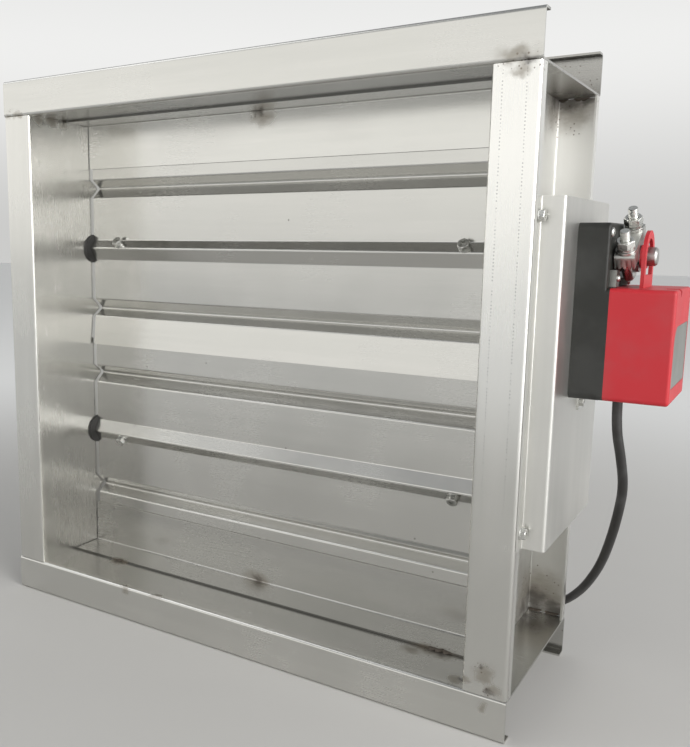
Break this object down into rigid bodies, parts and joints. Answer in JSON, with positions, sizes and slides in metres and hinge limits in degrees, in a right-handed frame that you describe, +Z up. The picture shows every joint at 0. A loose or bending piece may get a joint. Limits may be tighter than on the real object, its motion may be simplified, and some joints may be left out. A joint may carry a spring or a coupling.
{
  "type": "motorized volume control damper",
  "caption": "Square sheet-steel duct damper: lipped channel casing, opposed folded blades on round shafts, slotted link behind a side cover, and a clamp-on electric actuator with cable.",
  "frame": {"origin": "middle of the clear duct opening, halfway through the casing's depth", "axes": "+X along the blade shafts towards the actuator, +Y along the airflow from the side seen in the picture, +Z up"},
  "size_m": [0.5345, 0.2765, 0.46],
  "materials": {
    "casing_steel": "galvanised sheet, satin, with weld burns",
    "blade_steel": "galvanised sheet, satin",
    "cover_steel": "galvanised sheet, satin",
    "bright_steel": "bright drawn steel",
    "zinc_fastener": "zinc plated",
    "black_nylon": "matte",
    "black_plastic": "satin moulded",
    "red_plastic": "satin moulded",
    "motor_can": "plain",
    "board": "solder mask",
    "label_film": "blank printed film",
    "cable_rubber": "satin sheath",
    "core_insulation": "plain"
  },
  "bodies": {
    "casing": {"top_channel": "casing_steel", "bottom_channel": "casing_steel", "left_channel": "casing_steel", "right_channel": "casing_steel", "top_stop_angle": "casing_steel", "bottom_stop_angle": "casing_steel", "upper_left_bushing": "black_nylon", "upper_right_bushing": "black_nylon", "lower_left_bushing": "black_nylon", "lower_right_bushing": "black_nylon", "link_guide_studs": "zinc_fastener", "cover_screws": "zinc_fastener", "strap_screw": "zinc_fastener", "anti_rotation_strap": "zinc_fastener", "actuator_base_screws": "zinc_fastener", "end_stops": "zinc_fastener", "end_stop_screws": "zinc_fastener", "linkage_cover": "cover_steel", "actuator_base": "black_plastic", "actuator_housing": "red_plastic", "indicator_loop": "red_plastic", "label_plate": "label_film", "motor": "motor_can", "circuit_board": "board", "cable_grommet": "cable_rubber", "cable": "cable_rubber", "cable_coil": "cable_rubber", "cable_tie": "cable_rubber", "cable_cores": "core_insulation"},
    "upper_blade_set": {"upper_blade": "blade_steel", "upper_shaft": "bright_steel", "upper_blade_bolts": "zinc_fastener", "upper_blade_washers": "zinc_fastener", "upper_blade_spring_washers": "zinc_fastener", "upper_crank": "bright_steel", "upper_crank_screw": "zinc_fastener", "upper_crank_pin": "zinc_fastener", "drive_hub": "bright_steel", "clamp_u_bolt": "zinc_fastener", "clamp_saddle": "zinc_fastener", "clamp_washers": "zinc_fastener", "clamp_spring_washers": "zinc_fastener", "clamp_nuts": "zinc_fastener", "indicator_collar": "red_plastic"},
    "lower_blade_set": {"lower_blade": "blade_steel", "lower_shaft": "bright_steel", "lower_blade_bolts": "zinc_fastener", "lower_blade_washers": "zinc_fastener", "lower_blade_spring_washers": "zinc_fastener", "lower_crank": "bright_steel", "lower_crank_screw": "zinc_fastener", "lower_crank_pin": "zinc_fastener"},
    "link": {"link_bar": "bright_steel"}
  },
  "joints": [
    {"name": "upper_blade_turn", "type": "hinge", "parent": "casing", "child": "upper_blade_set", "pos_m": [0, 0, 0.087], "axis": [1, 0, 0], "range_deg": [-90, 0]},
    {"name": "lower_blade_turn", "type": "hinge", "parent": "casing", "child": "lower_blade_set", "pos_m": [0, 0, -0.087], "axis": [1, 0, 0], "range_deg": [0, 90]},
    {"name": "link_lift", "type": "slide", "parent": "casing", "child": "link", "axis": [0, 0, 1], "range_m": [-0.0283, 0]}
  ],
  "couplings": [
    {"joint": "lower_blade_turn", "follows": "upper_blade_turn", "ratio": -1},
    {"joint": "link_lift", "follows": "upper_blade_turn", "m_per_rad": 0.018006}
  ]
}
